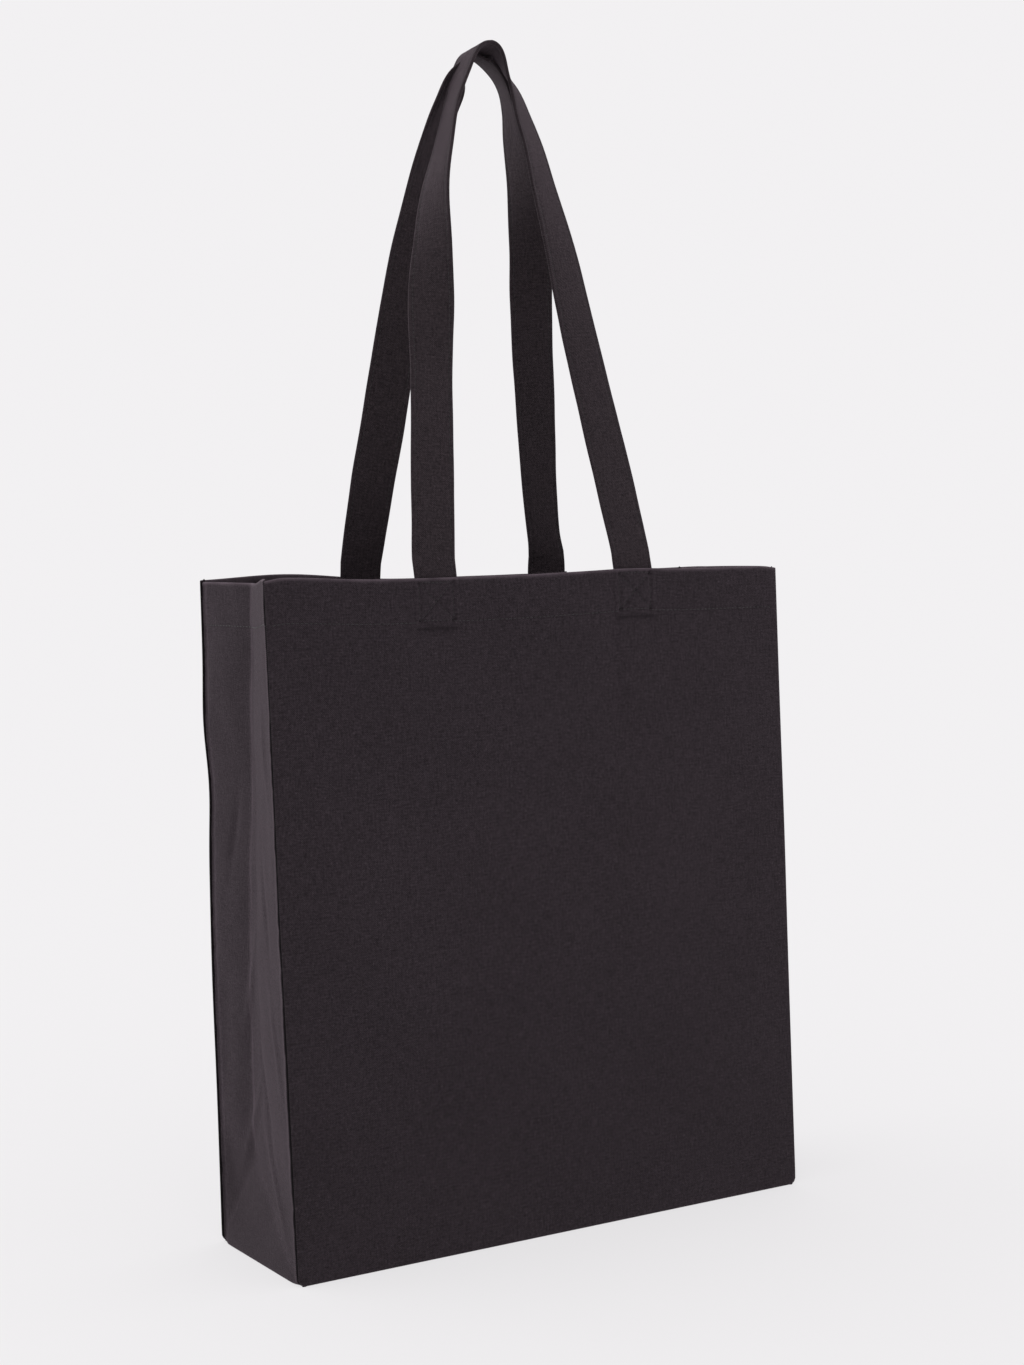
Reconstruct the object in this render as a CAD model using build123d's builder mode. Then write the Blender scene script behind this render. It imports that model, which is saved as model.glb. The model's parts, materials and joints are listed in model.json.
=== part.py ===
"""Open canvas tote bag with side gussets, a flat base and two sewn carrying handles.

Frame: millimetres, +Z up, origin on the floor under the middle of the base, front face towards -Y.
The front panel, gussets and base stay still. The back panel slides forward when the bag is folded flat.
Each handle has a short root at the rim that leans with the fold, and a loop that swings outwards from it.
"""
import os
from math import asin, cos, pi, sin

from build123d import *

# ---- driving dimensions ----
BAG_WIDTH = 380.0
BAG_DEPTH = 120.0
BAG_HEIGHT = 436.0
CLOTH = 0.8                # one layer of canvas
CORNER_RADIUS = 6.0        # lower corners of the front and back panels
CLEAR = 0.3                # gap between pieces that move apart

FOLD_RIM = 15.0            # how far the gusset's middle crease tucks in at the rim
FOLD_LOW = 9.0             # the same where the crease meets the base fold
LOW_FOLD_HEIGHT = 60.0
FOLD_BASE = 1.0            # the crease runs out almost flat at the base seam

HEM_DEPTH = 30.0
HEM_THICKNESS = 1.2        # the turned-in layers behind a panel
HEM_STITCH_DROP = 28.0     # hem stitch row below the rim

STRAP_WIDTH = 30.0
STRAP_THICKNESS = 2.0
STRAP_SPACING = 148.0      # between the middles of the two ends of one handle
STRAP_TAIL = 30.0          # sewn length below the rim
ROOT_HEIGHT = 12.0
HANDLE_RISE = {"front": 354.0, "back": 348.0}   # rim to the top of each handle, in its leaning plane
TOP_OFFSET = 7.0           # each handle's top stays this far short of the bag's middle plane
# how the legs draw together, 1 is an elliptic arch; the back handle is the narrower one, inside the front
ARCH_POWER = {"front": 0.92, "back": 1.04}
TWIST_START = 0.15         # share of the rise where the strap begins to turn edge-on
TWIST_END = 0.80
LEG_SECTIONS = 13          # lofted sections from root to top

THREAD = 0.8               # width of a stitch row
THREAD_HEIGHT = 0.3        # how far it stands off the cloth
EDGE_ROW = 12.0            # handle's edge stitching, from its middle
BOX_WIDTH = 24.0
BOX_HEIGHT = 24.0
BINDING_WIDTH = 7.0        # overlocked seam allowances inside the bag
BINDING_THICKNESS = 1.6

# ---- derived sizes ----
half_width = BAG_WIDTH / 2
half_depth = BAG_DEPTH / 2
panel_inner_y = half_depth - CLOTH
hem_inner_y = panel_inner_y - HEM_THICKNESS
strap_y = hem_inner_y - STRAP_THICKNESS / 2
strap_foot_z = BAG_HEIGHT + CLEAR
lean = asin((strap_y - TOP_OFFSET) / HANDLE_RISE["front"])
box_middle_z = BAG_HEIGHT - STRAP_TAIL / 2
FACES = {"front": -1, "back": 1}
SIDES = {"left": -1, "right": 1}
# the moving back panel leaves a gap to the gussets and base; the front panel is sewn straight to them
SEAM_Y = {"front": -panel_inner_y, "back": panel_inner_y - CLEAR}

os.makedirs("parts", exist_ok=True)


def save(piece, name):
    """Label one finished piece and write it to its own STEP file."""
    piece.label = name
    export_step(piece, f"parts/{name}.step")


def fold_depth(height):
    """Depth of the gusset crease at a height above the floor."""
    if height <= LOW_FOLD_HEIGHT:
        return FOLD_BASE + (FOLD_LOW - FOLD_BASE) * (height - CLOTH) / (LOW_FOLD_HEIGHT - CLOTH)
    share = (height - LOW_FOLD_HEIGHT) / (BAG_HEIGHT - LOW_FOLD_HEIGHT)
    return FOLD_LOW + (FOLD_RIM - FOLD_LOW) * share


def gusset_x(y, height):
    """Outer face of the gusset, measured from the bag's middle."""
    return half_width - fold_depth(height) * (1 - abs(y) / half_depth)


def folded_layer(heights, side, front_y, back_y, inset, thickness):
    """A layer that follows the gusset's crease, lofted through the given heights."""
    with BuildPart() as layer:
        for height in heights:
            outer = [(gusset_x(y, height) - inset, y) for y in (front_y, 0, back_y)]
            inner = [(x - thickness, y) for x, y in reversed(outer)]
            with BuildSketch(Plane.XY.offset(height)):
                Polygon(*[(side * x, y) for x, y in outer + inner], align=None)
        loft(ruled=True)
    return layer.part


def ramp(value, low, high):
    """Smooth 0 to 1 rise between low and high."""
    share = min(max((value - low) / (high - low), 0), 1)
    return share * share * (3 - 2 * share)


def handle_plane(face, turn):
    """Plane of a handle: X along the bag, Y up the leaning handle, Z out of the bag."""
    origin = (0, FACES[face] * strap_y, strap_foot_z)
    outward = (0, FACES[face] * cos(turn), sin(turn))
    return Plane(origin=origin, x_dir=(-FACES[face], 0, 0), z_dir=outward)


def strap_section(face, travel, shift=0.0, lift=0.0):
    """Cross-section plane of a handle; travel runs from -1 at one root through 0 at the top to 1.

    shift moves the plane's origin across the strap and lift moves it off the strap's outer face.
    """
    plane = handle_plane(face, lean)
    side = 1 if travel > 0 else -1
    angle = (1 - abs(travel)) * pi / 2
    foot = ROOT_HEIGHT + CLEAR
    rise = HANDLE_RISE[face] - foot
    x = side * STRAP_SPACING / 2 * cos(angle) ** ARCH_POWER[face]
    up = foot + rise * sin(angle) ** 2
    # the ends are cut square to the roots, so the strap starts straight up there
    sideways = STRAP_SPACING / 2 * ARCH_POWER[face] if angle > 0 else 0
    tangent = (plane.x_dir * sideways - plane.y_dir * (side * 2 * rise * cos(angle))).normalized()
    away = plane.z_dir.cross(tangent)
    twist = (pi - lean) / 2 * ramp(sin(angle) ** 2, TWIST_START, TWIST_END)
    normal = plane.z_dir * cos(twist) + away * sin(twist)
    across = normal.cross(tangent)
    origin = plane.origin + plane.x_dir * x + plane.y_dir * up + across * shift + normal * lift
    return Plane(origin=origin, x_dir=across, z_dir=tangent)


def strap_loft(face, width, thickness, shift=0.0, lift=0.0):
    """A ribbon along the whole loop of a handle."""
    with BuildPart() as ribbon:
        for step in range(-LEG_SECTIONS, LEG_SECTIONS + 1):
            with BuildSketch(strap_section(face, step / LEG_SECTIONS, shift, lift)):
                Rectangle(width, thickness)
        loft(ruled=True)
    return ribbon.part


def panel_plane(face, y):
    """Upright plane at a distance y from the middle, drawn from outside: X along the bag, Y up."""
    return Plane(origin=(0, FACES[face] * y, 0), x_dir=(-FACES[face], 0, 0), z_dir=(0, FACES[face], 0))


hem_half = gusset_x(hem_inner_y, BAG_HEIGHT) - CLOTH - CLEAR

# ---- front and back panels with their turned hems ----
for face in FACES:
    with BuildPart() as panel:
        with BuildSketch(panel_plane(face, half_depth)) as outline:
            with Locations((0, BAG_HEIGHT / 2)):
                Rectangle(BAG_WIDTH, BAG_HEIGHT)
            fillet(outline.vertices().group_by(Axis.Z)[0], CORNER_RADIUS)
        extrude(amount=-CLOTH)
    save(panel.part, f"{face}_panel")

    with BuildPart() as hem:
        with BuildSketch(panel_plane(face, panel_inner_y)):
            with Locations((0, BAG_HEIGHT - HEM_DEPTH / 2)):
                Rectangle(2 * hem_half, HEM_DEPTH)
        extrude(amount=-HEM_THICKNESS)
    save(hem.part, f"{face}_hem")

    with BuildPart() as hem_stitches:
        with BuildSketch(panel_plane(face, half_depth)):
            with Locations((0, BAG_HEIGHT - HEM_STITCH_DROP)):
                Rectangle(2 * hem_half, THREAD)
            for side in SIDES.values():
                with Locations((side * STRAP_SPACING / 2, BAG_HEIGHT - HEM_STITCH_DROP)):
                    Rectangle(BOX_WIDTH + THREAD, 2 * THREAD, mode=Mode.SUBTRACT)
        extrude(amount=THREAD_HEIGHT)
    save(hem_stitches.part, f"{face}_hem_stitches")

# ---- base and gussets ----
with BuildPart() as base:
    with BuildSketch():
        with Locations((0, (SEAM_Y["front"] + SEAM_Y["back"]) / 2)):
            Rectangle(BAG_WIDTH, SEAM_Y["back"] - SEAM_Y["front"])
    extrude(amount=CLOTH)
save(base.part, "base_panel")

hem_heights = (BAG_HEIGHT - HEM_DEPTH, BAG_HEIGHT)
stitch_heights = (BAG_HEIGHT - HEM_STITCH_DROP, BAG_HEIGHT - HEM_STITCH_DROP + THREAD)
binding_y = panel_inner_y - BINDING_THICKNESS
for name, side in SIDES.items():
    gusset_heights = (CLOTH, LOW_FOLD_HEIGHT, BAG_HEIGHT)
    gusset = folded_layer(gusset_heights, side, SEAM_Y["front"], SEAM_Y["back"], 0, CLOTH)
    save(gusset, f"{name}_gusset")
    hem_y = hem_inner_y - CLEAR
    save(folded_layer(hem_heights, side, -hem_y, hem_y, CLOTH, HEM_THICKNESS), f"{name}_hem")
    row = folded_layer(stitch_heights, side, -hem_y, hem_y, -THREAD_HEIGHT, THREAD_HEIGHT)
    save(row, f"{name}_hem_stitches")

    # the front corner's seam allowance is overlocked together and lies against the gusset
    with BuildPart() as binding:
        low = CLOTH + 3 * BINDING_THICKNESS
        for height in (low, LOW_FOLD_HEIGHT, BAG_HEIGHT - HEM_DEPTH - CLEAR):
            with BuildSketch(Plane.XY.offset(height)):
                edge_y = (SEAM_Y["front"], SEAM_Y["front"] + BINDING_WIDTH)
                outer = [(gusset_x(y, height) - CLOTH, y) for y in edge_y]
                inner = [(x - BINDING_THICKNESS, y) for x, y in reversed(outer)]
                Polygon(*[(side * x, y) for x, y in outer + inner], align=None)
        loft(ruled=True)
    save(binding.part, f"front_{name}_seam_binding")

    # the back corner's allowance lies against the back panel and moves with it
    deepest = gusset_x(SEAM_Y["back"] - BINDING_THICKNESS, BAG_HEIGHT) - CLOTH
    with BuildPart() as binding:
        with BuildSketch(panel_plane("back", panel_inner_y)):
            top = BAG_HEIGHT - HEM_DEPTH - CLEAR
            with Locations((-side * (deepest - 1 - BINDING_WIDTH / 2), (low + top) / 2)):
                Rectangle(BINDING_WIDTH, top - low)
        extrude(amount=-BINDING_THICKNESS)
    save(binding.part, f"back_{name}_seam_binding")

# ---- overlocked allowances along the base seams ----
run = 2 * (half_width - CLOTH - BINDING_THICKNESS - CLEAR) - 2 * BINDING_WIDTH
for face in FACES:
    inset = {"front": 0, "back": BINDING_THICKNESS + CLEAR}[face]
    with BuildPart() as base_binding:
        with BuildSketch(Plane.XY.offset(CLOTH)):
            with Locations((0, FACES[face] * (abs(SEAM_Y[face]) - inset - BINDING_WIDTH / 2))):
                Rectangle(run, BINDING_WIDTH)
        extrude(amount=BINDING_THICKNESS)
    save(base_binding.part, f"{face}_base_seam_binding")

# ---- handles: sewn ends, roots, loops and their stitching ----
for face in FACES:
    for name, side in SIDES.items():
        end_x = -FACES[face] * side * STRAP_SPACING / 2
        with BuildPart() as strap_end:
            with BuildSketch(panel_plane(face, hem_inner_y)):
                with Locations((end_x, box_middle_z)):
                    Rectangle(STRAP_WIDTH, STRAP_TAIL)
            extrude(amount=-STRAP_THICKNESS)
        save(strap_end.part, f"{face}_{name}_strap_end")

        with BuildPart() as box_stitches:
            with BuildSketch(panel_plane(face, half_depth)):
                with Locations((end_x, box_middle_z)):
                    Rectangle(BOX_WIDTH, BOX_HEIGHT)
                    Rectangle(BOX_WIDTH - 2 * THREAD, BOX_HEIGHT - 2 * THREAD, mode=Mode.SUBTRACT)
                    diagonal = 1.36 * BOX_WIDTH
                    Rectangle(diagonal, THREAD, rotation=45)
                    Rectangle(diagonal, THREAD, rotation=-45)
            extrude(amount=THREAD_HEIGHT)
        save(box_stitches.part, f"{face}_{name}_box_stitches")

    with BuildPart() as roots:
        with BuildSketch(handle_plane(face, lean)):
            with Locations((0, ROOT_HEIGHT / 2)):
                with GridLocations(STRAP_SPACING, 0, 2, 1):
                    Rectangle(STRAP_WIDTH, ROOT_HEIGHT - CLEAR)
        extrude(amount=STRAP_THICKNESS / 2, both=True)
    save(roots.part, f"{face}_handle_roots")

    loop = strap_loft(face, STRAP_WIDTH, STRAP_THICKNESS)
    save(loop, f"{face}_handle")
    rows = [
        strap_loft(face, THREAD, THREAD_HEIGHT, shift, (STRAP_THICKNESS + THREAD_HEIGHT) / 2)
        for shift in (-EDGE_ROW, EDGE_ROW)
    ]
    save(Compound(children=rows), f"{face}_handle_stitches")
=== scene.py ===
import json
import math

import bpy
import numpy as np
from mathutils import Matrix, Vector, noise


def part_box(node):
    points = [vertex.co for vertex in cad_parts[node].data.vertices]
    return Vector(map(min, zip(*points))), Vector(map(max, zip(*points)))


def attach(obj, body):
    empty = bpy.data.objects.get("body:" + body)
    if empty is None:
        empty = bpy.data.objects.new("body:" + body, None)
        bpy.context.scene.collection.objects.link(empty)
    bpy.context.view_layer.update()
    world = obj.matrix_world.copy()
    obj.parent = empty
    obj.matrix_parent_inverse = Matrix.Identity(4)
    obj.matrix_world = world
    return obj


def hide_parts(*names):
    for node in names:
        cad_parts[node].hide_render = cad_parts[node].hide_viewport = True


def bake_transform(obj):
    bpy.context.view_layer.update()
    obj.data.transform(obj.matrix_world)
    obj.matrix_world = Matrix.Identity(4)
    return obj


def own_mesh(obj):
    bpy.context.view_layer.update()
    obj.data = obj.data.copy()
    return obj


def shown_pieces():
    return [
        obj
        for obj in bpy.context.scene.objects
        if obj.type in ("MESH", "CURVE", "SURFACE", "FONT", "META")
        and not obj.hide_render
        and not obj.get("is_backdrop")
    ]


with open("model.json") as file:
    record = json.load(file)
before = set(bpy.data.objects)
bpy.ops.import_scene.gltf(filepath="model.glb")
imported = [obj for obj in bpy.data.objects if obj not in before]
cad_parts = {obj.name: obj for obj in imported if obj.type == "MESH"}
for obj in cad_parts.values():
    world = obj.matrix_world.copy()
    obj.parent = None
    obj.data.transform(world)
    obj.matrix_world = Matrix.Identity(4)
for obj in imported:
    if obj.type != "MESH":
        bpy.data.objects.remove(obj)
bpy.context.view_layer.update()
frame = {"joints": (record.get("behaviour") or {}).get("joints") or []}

# ---- places read from the frame, in metres ----
front_low, front_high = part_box("front_panel")
back_low, back_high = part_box("back_panel")
HALF_W = front_high.x
HALF_D = back_high.y
RIM = front_high.z
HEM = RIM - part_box("front_hem")[0].z
STITCH_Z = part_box("front_hem_stitches")[0].z
JOINTS = {joint["name"]: joint for joint in frame["joints"]}
FACES = {"front": -1, "back": 1}
SIDES = {"left": -1, "right": 1}
BODY = {"front": "bag", "back": "back"}

MM = 0.001
CLOTH = 0.8 * MM
CORNER_R = 5 * MM           # rounding of the lower corners
RIM_R = 1.15 * MM           # half the thickness of the folded rim
STRAP_W = 30 * MM
STRAP_T = 2.3 * MM
TOP_OFFSET = 7 * MM         # handle tops stay this far short of the bag's middle plane
BOX_HALF = 12 * MM          # half the width of a box stitch
BOX_TOP, BOX_FOOT = 3 * MM, 27 * MM         # its upper and lower side, below the rim
PATCH_HALF, PATCH_FOOT = 16 * MM, 32 * MM   # half width and lower edge of the bulge over a strap end
SEAM_GAP = 3.5 * MM         # stitch rows and plain cloth stop this far from an upright seam


# ---- small maths ----
def ramp(value, low, high):
    """Smooth 0 to 1 rise between low and high."""
    share = np.clip((np.asarray(value, float) - low) / (high - low), 0, 1)
    return share * share * (3 - 2 * share)


def hump(value, at, spread):
    """Soft bump of height 1."""
    return np.exp(-((np.asarray(value, float) - at) / spread) ** 2)


def soft_noise(x, y, scale, seed):
    """Smooth noise from about -1 to 1 over two arrays, the same in each run."""
    x, y = np.broadcast_arrays(np.asarray(x, float), np.asarray(y, float))
    flat = [noise.noise(Vector((a / scale, b / scale, seed * 7.31))) for a, b in zip(x.ravel(), y.ravel())]
    return np.array(flat).reshape(x.shape)


# ---- mesh helpers ----
def make_object(name, verts, faces, material, uvs=None, painted_light=None):
    """Smooth mesh object; each vertex may have a UV in metres and a painted light value, from -1, painted
    shade, to 1, painted highlight.
    """
    mesh = bpy.data.meshes.new(name)
    mesh.from_pydata([tuple(v) for v in verts], [], faces)
    mesh.polygons.foreach_set("use_smooth", [True] * len(mesh.polygons))
    if uvs is not None:
        layer = mesh.uv_layers.new(name="UVMap")
        loops = np.zeros(len(mesh.loops), np.int32)
        mesh.loops.foreach_get("vertex_index", loops)
        layer.data.foreach_set("uv", np.asarray(uvs, np.float32)[loops].ravel())
    # painted shade and painted highlight, stored on the vertices for the cloth material
    if painted_light is not None:
        layer = mesh.attributes.new("painted_light", "FLOAT", "POINT")
        layer.data.foreach_set("value", np.asarray(painted_light, np.float32).ravel())
    mesh.materials.append(material)
    mesh.update()
    made = bpy.data.objects.new(name, mesh)
    bpy.context.scene.collection.objects.link(made)
    return made


def grid_faces(rows, cols, closed=False, first=0):
    """Quads of a grid; closed joins the last column to the first."""
    spans = cols if closed else cols - 1
    return [
        (first + r * cols + c, first + r * cols + (c + 1) % cols,
         first + (r + 1) * cols + (c + 1) % cols, first + (r + 1) * cols + c)
        for r in range(rows - 1) for c in range(spans)
    ]


def sheet_object(name, points, uvs, material, flip=False, thickness=CLOTH, painted_light=None):
    """Cloth from a grid of outer-face points; its thickness lies behind the face."""
    rows, cols = points.shape[:2]
    faces = grid_faces(rows, cols)
    if flip:
        faces = [face[::-1] for face in faces]
    made = make_object(name, points.reshape(-1, 3), faces, material, uvs.reshape(-1, 2), painted_light)
    solid = made.modifiers.new("thickness", "SOLIDIFY")
    solid.thickness = thickness
    solid.offset = -1
    return made


# ---- shape of the bag ----
# Where two panels are sewn, each rolls into the seam. Points are (a, b) in a corner's own frame:
# a runs from the corner along the front or back panel, b along the gusset.
PANEL_ROLL = MM * np.array([
    (2.8, 2.0), (1.3, 2.3), (0.3, 2.0), (0, 1.25), (0.25, 0.55), (0.9, 0.1), (2.0, 0),
])
SIDE_ROLL = np.array([(3.2, 1.8), (2.9, 2.5), (1.3, 3.2), (0.0, 4.0), (-0.5, 5.0)]) * MM
# the same at the floor, as (height, inset) for the walls and for the base
WALL_FOOT = np.array([(0.6, 1.5), (0.15, 1.15), (0.02, 0.7), (0.3, 0.25), (1.0, 0.06), (2.0, 0)]) * MM
BASE_EDGE = np.array([(0.6, 1.5), (0.2, 1.9), (0, 2.5), (0, 3.5)]) * MM

# outward lean of each upright seam at the rim and at the floor, and its waves (height, size, spread)
SEAM_SWAY = {
    ("front", "left"): (2.4, 0.0, [(230, 0.5, 60)]),
    ("back", "left"): (-1.3, 4.6, [(345, 1.2, 28), (300, -1.6, 30), (180, 0.8, 60)]),
    ("front", "right"): (-0.5, 0.0, [(250, 0.4, 60)]),
    ("back", "right"): (0.0, 0.0, [(280, -0.8, 50)]),
}
# how far the rim stands above its nominal level, in millimetres: an even tilt towards each corner,
# a local rise at the corner, a bow in the middle, and waves (place along the panel, size, spread)
CORNER_LIFT = {
    ("front", "left"): -2.6, ("back", "left"): 3.0, ("front", "right"): -1.5, ("back", "right"): 0.0,
}
CORNER_RISE = {
    ("front", "left"): 6.4, ("back", "left"): 0.0, ("front", "right"): 0.0, ("back", "right"): 0.0,
}
MIDDLE_LIFT = {"front": 2.2, "back": -2.0}
RIM_WAVES = {"front": ((75, 0.8, 25),), "back": ((-130, 4.4, 52), (60, 0.6, 25))}
# the gusset's crease: (height above the floor, depth, distance behind the middle) in millimetres
CREASE = np.array([(0, 7, 13), (62, 7.5, 15), (115, 8.5, 17), (235, 10.5, 12), (436, 15, 2)]) * MM
LOW_FOLD = 62 * MM          # height of the triangle that the gusset folds into at the floor
# drag lines on the gussets: (y, height, slope, size) in millimetres
WRINKLES = (
    (-38, 30, 0.55, 1.0), (-20, 75, 0.3, -0.9), (-44, 120, 0.25, 0.8), (30, 60, -0.5, 0.8),
    (-30, 205, 0.2, -0.8), (22, 150, -0.3, 0.7), (-40, 300, 0.15, 0.7), (34, 250, -0.2, -0.6),
)


def seam_sway(face, side, z):
    """How far an upright seam leans out past the bag's side."""
    top, bottom, waves = SEAM_SWAY[face, side]
    share = np.clip(z / RIM, 0, 1)
    total = top * share + bottom * (1 - share)
    for at, size, spread in waves:
        total = total + size * hump(z, at * MM, spread * MM)
    return total * MM


def side_sway(side, y, z):
    """Outward lean of a gusset's cloth between its two upright seams."""
    share = y / HALF_D
    return (seam_sway("back", side, z) * (1 + share) + seam_sway("front", side, z) * (1 - share)) / 2


def corner_inset(z):
    """How far the rounding of the lower corners pulls the cloth in at a height."""
    low = np.clip(CORNER_R - z, 0, CORNER_R)
    return CORNER_R - np.sqrt(CORNER_R ** 2 - low ** 2)


def corner_lift(face, side, share, half, spread):
    """A corner's part in the lift of a rim; share is 1 at the corner and -1 at the rim's other end."""
    lift = CORNER_LIFT[face, side]
    away = half * (1 - share)
    return (
        lift * (1 + share) / 2 + min(lift, 0) * 0.6 * hump(away, 0, 7 * MM)
        + CORNER_RISE[face, side] * hump(away, 0, spread)
    )


def panel_lift(face, x):
    """Height of the rim above its nominal level along the front or back panel."""
    share = x / HALF_W
    ends = sum(corner_lift(face, side, sign * share, HALF_W, 62 * MM) for side, sign in SIDES.items())
    waves = 0.35 * np.sin(x / (23 * MM) + FACES[face]) * (1 - share ** 2)
    waves = waves + sum(size * hump(x, at * MM, spread * MM) for at, size, spread in RIM_WAVES[face])
    return (ends + MIDDLE_LIFT[face] * (1 - share ** 2) + waves) * MM


def strap_xs():
    """Middles of the strap ends along the panels."""
    low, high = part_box("front_left_strap_end")
    middle = abs(low.x + high.x) / 2
    return (-middle, middle)


STRAP_XS = strap_xs()


def box_lines(middle):
    """The four sides and two diagonals of a box stitch, as pairs of (x, z) corners."""
    left, right = middle - BOX_HALF, middle + BOX_HALF
    top, bottom = RIM - BOX_TOP, RIM - BOX_FOOT
    corners = [(left, bottom), (right, bottom), (right, top), (left, top)]
    sides = [(corners[k], corners[(k + 1) % 4]) for k in range(4)]
    return sides + [(corners[0], corners[2]), (corners[1], corners[3])]


def line_distance(x, z, line):
    """Distance of points from a straight stitch line."""
    (x0, z0), (x1, z1) = line
    length = math.hypot(x1 - x0, z1 - z0)
    along = np.clip(((x - x0) * (x1 - x0) + (z - z0) * (z1 - z0)) / length, 0, length)
    return np.hypot(x - x0 - along * (x1 - x0) / length, z - z0 - along * (z1 - z0) / length)


def panel_bulge(face, x, z):
    """Slow outward swell and unevenness of a front or back panel."""
    seed = 1 if face == "front" else 2
    share = np.clip(x / HALF_W, -1, 1)
    across = 1 - share ** 2
    upward = np.sin(np.pi * np.clip(z / RIM, 0, 1) ** 0.8)
    swell = 1.6 * across * upward
    slow = 0.9 * soft_noise(x, z, 0.11, seed) + 0.3 * soft_noise(x, z, 0.035, seed + 2)
    slow = slow * ramp(RIM - z, -0.01, 0.05)
    return (swell + slow * ramp(HALF_W - abs(x), 0, 0.03) * ramp(z, 0, 0.03)) * MM


def panel_relief(face, x, z):
    """Small relief that shows through: turned hem, strap ends, stitch grooves and puckers."""
    seed = 5 if face == "front" else 6
    near = ramp(HALF_W - abs(x), 0, 0.006)
    total = 0.45 * ramp(z, RIM - HEM - 1.5 * MM, RIM - HEM + 1.5 * MM)
    total = total - 0.6 * hump(z, STITCH_Z, 1.1 * MM)
    total = total + 0.3 * hump(z, STITCH_Z, 10 * MM) * soft_noise(x, z * 0.3, 0.006, seed)
    for middle in STRAP_XS:
        away = abs(x - middle)
        patch = ramp(PATCH_HALF - away, 0, 1.6 * MM) * ramp(z, RIM - PATCH_FOOT, RIM - PATCH_FOOT + 1.8 * MM)
        total = total + 0.62 * patch
        total = total - 0.7 * hump(z, RIM - 32.4 * MM, 1.6 * MM) * ramp(17 * MM - away, 0, 3 * MM)
        for line in box_lines(middle):
            total = total - 0.8 * hump(line_distance(x, z, line), 0, 1.1 * MM) * patch
    if face == "front":     # a soft dent beside the right strap end
        total = total - 0.9 * hump(x, STRAP_XS[1] - 17 * MM, 7 * MM) * hump(z, RIM - 62 * MM, 38 * MM)
    edge = hump(HALF_W - abs(x), SEAM_GAP, 4 * MM)
    total = total + 0.25 * edge * soft_noise(z, x * 0, 0.007, seed + 3)
    return total * near * MM


def panel_point(face, x, z, inward=0.0, inside=False):
    """Point of a front or back panel; x and z are flat positions, inward is depth behind its face."""
    sign = FACES[face]
    share = x / HALF_W
    shift = (seam_sway(face, "right", z) * (1 + share) - seam_sway(face, "left", z) * (1 - share)) / 2
    side = np.sign(x)
    inset = corner_inset(z) * hump(HALF_W - abs(x), 0, 9 * MM) * -side
    out = panel_bulge(face, x, z)
    if not inside:
        out = out + panel_relief(face, x, z)
    lift = panel_lift(face, x) * ramp(z, 0.4 * RIM, RIM)
    return np.stack([x + shift + inset, sign * (HALF_D + out - inward), z + lift], -1)


def rim_rows(inner_step):
    """(height below the rim's top, depth) over the folded rim and down the turned-in hem."""
    arc = [
        (RIM_R * (1 - math.sin(k * math.pi / 6)), RIM_R * (1 - math.cos(k * math.pi / 6)))
        for k in range(1, 7)
    ]
    down = [(drop, 2 * RIM_R) for drop in np.arange(RIM_R + inner_step, HEM - MM, inner_step)]
    return arc + down + [(HEM - 0.4 * MM, 2 * RIM_R - 0.1 * MM), (HEM, 2 * RIM_R - 0.5 * MM)]


def spaced(low, high, step):
    """Evenly spaced values from low to high, about one step apart."""
    return np.linspace(low, high, max(2, int(round((high - low) / step)) + 1))


def wall_rows():
    """(height, depth, inside) of each row of a wall, from the seam at the floor to the hem's inner edge."""
    rows = [(height, depth, False) for height, depth in WALL_FOOT]
    plain = spaced(4 * MM, RIM - HEM - 4 * MM, 5 * MM)
    fine = spaced(RIM - HEM - 3 * MM, RIM - RIM_R, 1.0 * MM)
    rows += [(height, 0.0, False) for height in np.concatenate([plain, fine])]
    rows += [(RIM - drop, depth, drop > RIM_R) for drop, depth in rim_rows(4 * MM)]
    return rows


def path_lengths(rows):
    """Distance along the cloth to each row."""
    steps = [0.0] + [math.hypot(b[0] - a[0], b[1] - a[1]) for a, b in zip(rows, rows[1:])]
    return np.cumsum(steps)


def rim_highlight(rows, along, cols):
    """Painted highlight along the folded rim, a little uneven."""
    heights = np.array([height - (depth if inside else 0) for height, depth, inside in rows])
    highlight = 1.3 * hump(heights, RIM, 1.4 * MM)[:, None]
    return highlight * (0.75 + 0.5 * soft_noise(along, along * 0, 0.012, 61)) * np.ones((1, cols))


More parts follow.
